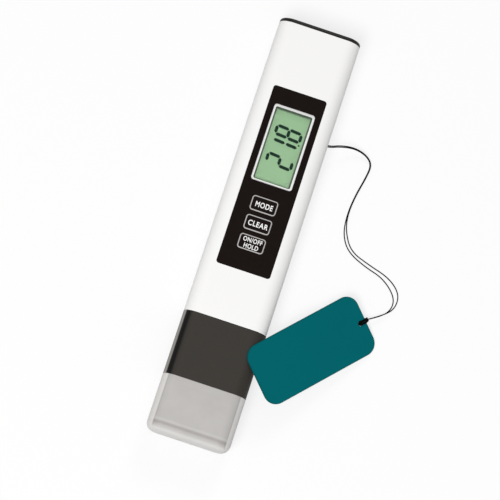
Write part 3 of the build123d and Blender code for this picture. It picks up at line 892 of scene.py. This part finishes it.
string_black = fibre("string_black", (0.0015, 0.0015, 0.0018))
tag_teal = coated_card("tag_teal", (0.0, 0.132, 0.15))

# %% [markdown]
# Each CAD node gets its finish by name. The nodes keep their meshes and their places.

# %% Give every CAD node its finish
finishes = {
    white_shell: ["housing"],
    black_cover: ["battery_cover"],
    collar_charcoal: ["probe_housing"],
    panel_black: ["overlay_panel"],
    window_clear: ["display_window"],
    frame_white: ["display_frame"],
    display_clear: ["lcd_glass"],
    display_green: ["lcd_panel"],
    elastomer_grey: ["lcd_connector_upper", "lcd_connector_lower"],
    plunger_black: ["mode_plunger", "clear_plunger", "power_plunger"],
    switch_black: ["mode_switch", "clear_switch", "power_switch"],
    board_green: ["pcb"],
    chip_black: ["controller_chip"],
    can_metal: ["crystal", "capacitors"],
    screw_steel: ["chassis_screws"],
    chassis_grey: ["chassis"],
    tray_black: ["battery_tray"],
    cell_steel: ["cell_left", "cell_right"],
    contact_plate: ["cell_bridge", "contact_negative", "contact_positive"],
    seal_rubber: ["cover_seal", "housing_seal", "cap_seal"],
    head_pale: ["probe_head"],
    electrode_steel: ["electrode_left", "electrode_right"],
    sensor_steel: ["temperature_probe"],
    lead_black: ["lead_left"],
    lead_red: ["lead_middle"],
    lead_white: ["lead_right"],
    cap_frosted: ["cap"],
    tag_teal: ["tag"],
}
finishes.update({key_finishes[name]: [f"{name}_key"] for name in key_levels})
for finish, names in finishes.items():
    for name in names:
        nodes[name].data.materials.clear()
        nodes[name].data.materials.append(finish)
for piece in list(strands.values()) + [hitch]:
    piece.data.materials.clear()
    piece.data.materials.append(string_black)
dressed = sum(len(names) for names in finishes.values())
print("dressed", dressed, "of", len(nodes), "nodes; the string's three are replaced")

# %% [markdown]
# The display shows three digits of seven segments, turned a quarter turn so that they
# read up along the body, and a decimal point between the last two. Each segment is a thin
# plate with pointed ends on the green reflector. A digit is listed by the letters of its
# lit segments: a to f run clockwise from the top, and g is the middle bar.

# %% Digits of the display
digit_height = 10.2 * mm
digit_width = 4.2 * mm
digit_pitch = 5.24 * mm
digit_stroke = 1.12 * mm
digit_gap = 0.14 * mm
first_digit = 26.3 * mm
digit_side = 0.36 * mm
digit_slant = 0.08
segment_level = 11.9 * mm
segment_thickness = 0.02 * mm
lit_segments = {"2": "abged", "1": "bc", "8": "abcdefg"}


def segment_outline(start, end):
    """A bar with pointed ends between two places of a digit."""
    along = (end - start).normalized()
    side = Vector((-along.y, along.x)) * digit_stroke / 2
    start = start + along * digit_gap
    end = end - along * digit_gap
    slope = along * digit_stroke / 2
    return [
        start,
        start + slope - side,
        end - slope - side,
        end,
        end - slope + side,
        start + slope + side,
    ]


def digit_segments():
    """The seven bars of a digit, from its middle, in the digit's upright frame."""
    half_width = (digit_width - digit_stroke) / 2
    half_height = (digit_height - digit_stroke) / 2
    corners = {
        "top_left": Vector((-half_width, half_height)),
        "top_right": Vector((half_width, half_height)),
        "left": Vector((-half_width, 0)),
        "right": Vector((half_width, 0)),
        "low_left": Vector((-half_width, -half_height)),
        "low_right": Vector((half_width, -half_height)),
    }
    ends = {
        "a": ("top_left", "top_right"),
        "b": ("top_right", "right"),
        "c": ("right", "low_right"),
        "d": ("low_left", "low_right"),
        "e": ("left", "low_left"),
        "f": ("top_left", "left"),
        "g": ("left", "right"),
    }
    return {
        name: segment_outline(corners[first], corners[last])
        for name, (first, last) in ends.items()
    }


def plates(name, outlines, level, thickness):
    """Thin plates with the given flat outlines, as one mesh."""
    mesh = bpy.data.meshes.new(name)
    shape = bmesh.new()
    for outline in outlines:
        face = shape.faces.new([shape.verts.new((*point, level)) for point in outline])
        raised = bmesh.ops.extrude_face_region(shape, geom=[face])
        tops = [part for part in raised["geom"] if isinstance(part, bmesh.types.BMVert)]
        bmesh.ops.translate(shape, verts=tops, vec=(0, 0, thickness))
    bmesh.ops.recalc_face_normals(shape, faces=shape.faces)
    shape.to_mesh(mesh)
    shape.free()
    return mesh


segments = digit_segments()
digit_outlines = []
for place, figure in enumerate("218"):
    for name in lit_segments[figure]:
        digit_outlines.append(
            [
                (
                    digit_side - point.y,
                    first_digit + place * digit_pitch + point.x + point.y * digit_slant,
                )
                for point in segments[name]
            ]
        )
point_places = [(-1, -1), (-1, 1), (1, 1), (1, -1)]
point_half = 0.27 * mm
point_down = 4.7 * mm
point_along = 7.55 * mm
digit_outlines.append(
    [
        (digit_side + point_down + point_half * x, first_digit + point_along + point_half * y)
        for x, y in point_places
    ]
)
digits = add_piece(
    "display_digits",
    plates("display_digits", digit_outlines, segment_level, segment_thickness),
    segment_green,
)
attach(digits, "housing")
print("lit segments and point:", len(digit_outlines))

# %% [markdown]
# The keys carry plain words. Blender's own font is widened or narrowed to fit, and the
# letters are a film of ink that stands a hair proud of the key and moves with it.


# %% Words on the keys
letter_weight = 0.022
letter_space = 1.12
letter_depth = 0.01
ink_thickness = 0.015 * mm


def ink_words(name, text, middle, width, height):
    """Flat letters with a given width and height, centred on a place."""
    curve = bpy.data.curves.new(name, "FONT")
    curve.body = text
    curve.align_x = "CENTER"
    curve.extrude = letter_depth
    curve.offset = letter_weight
    curve.space_character = letter_space
    carrier = bpy.data.objects.new(name, curve)
    bpy.context.scene.collection.objects.link(carrier)
    mesh = bpy.data.meshes.new_from_object(carrier)
    bpy.data.objects.remove(carrier)
    lows = [min(vertex.co[axis] for vertex in mesh.vertices) for axis in range(3)]
    highs = [max(vertex.co[axis] for vertex in mesh.vertices) for axis in range(3)]
    for vertex in mesh.vertices:
        across = (vertex.co.x - (lows[0] + highs[0]) / 2) / (highs[0] - lows[0])
        along = (vertex.co.y - (lows[1] + highs[1]) / 2) / (highs[1] - lows[1])
        raised = vertex.co.z > 0
        vertex.co = (
            middle[0] + across * width,
            middle[1] + along * height,
            key_top + (ink_thickness if raised else 0),
        )
    mesh.name = name
    return add_piece(name, mesh, ink_white)


ink_white = moulded("ink_white", (0.95, 0.94, 0.93), 0.5, 0.03, 0.1, 0.002)
word_middle = 0.15 * mm
# Each word has its text, its key, its place up from the key's middle, and its size in mm
words = [
    ("mode_word", "MODE", "mode", -0.15, 6.25, 2.0),
    ("clear_word", "CLEAR", "clear", -0.1, 7.2, 2.0),
    ("power_word", "ON/OFF", "power", 1.05, 6.9, 1.7),
    ("hold_word", "HOLD", "power", -1.2, 5.2, 1.7),
]
for name, text, key, rise, width, height in words:
    middle = (word_middle, key_levels[key] + rise * mm)
    word = ink_words(name, text, middle, width * mm, height * mm)
    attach(word, f"{key}_key")
print("words:", [word[1] for word in words])

# %% [markdown]
# Now the strands and the hitch are tied to the frame: they ride on the housing and
# replace their plain CAD solids.

for name, strand in strands.items():
    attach(strand, "housing")
    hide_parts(name)
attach(hitch, "housing")
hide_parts("string_knot")
for name, strand in strands.items():
    line_length(strand_lines[name])
    [hitch, nodes["tag"]] if name == "string_outer" else []

# %% [markdown]
# The tester lies on a plain white table in soft studio light. A large lamp beyond the cap
# and to the left models the rounded edges, a smaller one beyond the battery end lightens
# the far side, and the world fills the rest. The floor is lifted to white for what the
# camera sees, also by reflection, so that the object isn't lit by it, and it keeps the
# shadow. It lies a hair below the tester's back, because two faces in one plane flicker.

# %% Floor, lamps and world
table_half = 3
table_gap = 0.02 * mm
table_lift = 0.75
floor_mesh = bpy.data.meshes.new("floor")
floor_shape = bmesh.new()
bmesh.ops.create_grid(floor_shape, x_segments=1, y_segments=1, size=table_half)
floor_shape.to_mesh(floor_mesh)
floor_shape.free()
table = Finish("table_white")
path = table.node("ShaderNodeLightPath")
seen = Wire(table, path.socket.node.outputs["Is Camera Ray"])
mirrored = Wire(table, path.socket.node.outputs["Is Glossy Ray"])
through = Wire(table, path.socket.node.outputs["Is Transmission Ray"])
tone = table.mix(seen, shade((0.6, 0.6, 0.6)), shade((0.95, 0.95, 0.95)))
matt = table.node("ShaderNodeBsdfDiffuse", sockets={"Color": tone})
glow = table.node("ShaderNodeEmission", sockets={"Color": (1, 1, 1, 1), "Strength": 1})
lift = seen.most(mirrored).most(through) * table_lift
both = table.node("ShaderNodeMixShader", sockets={0: lift, 1: matt, 2: glow})
table.node("ShaderNodeOutputMaterial", sockets={"Surface": both})
floor = add_piece("floor", floor_mesh, table.material)
floor.location.z = -table_gap


def soft_lamp(name, place, size, power):
    """A square soft lamp that looks at the tester's middle."""
    data = bpy.data.lights.new(name, "AREA")
    data.size = size
    data.energy = power
    lamp = bpy.data.objects.new(name, data)
    bpy.context.scene.collection.objects.link(lamp)
    facing = Vector(place).to_track_quat("Z", "Y")
    lamp.matrix_world = Matrix.LocRotScale(Vector(place), facing, None)


soft_lamp("key_lamp", (-0.22, -0.6, 1.1), 0.5, 10.4)
soft_lamp("far_lamp", (0.05, 0.95, 0.75), 0.4, 3.2)
world_light = 0.32
world = bpy.data.worlds.new("studio")
bpy.context.scene.world = world
world.use_nodes = True
background = world.node_tree.nodes["Background"]
background.inputs["Color"].default_value = (1, 1, 1, 1)
background.inputs["Strength"].default_value = world_light
bpy.context.scene.view_settings.view_transform = "Standard"
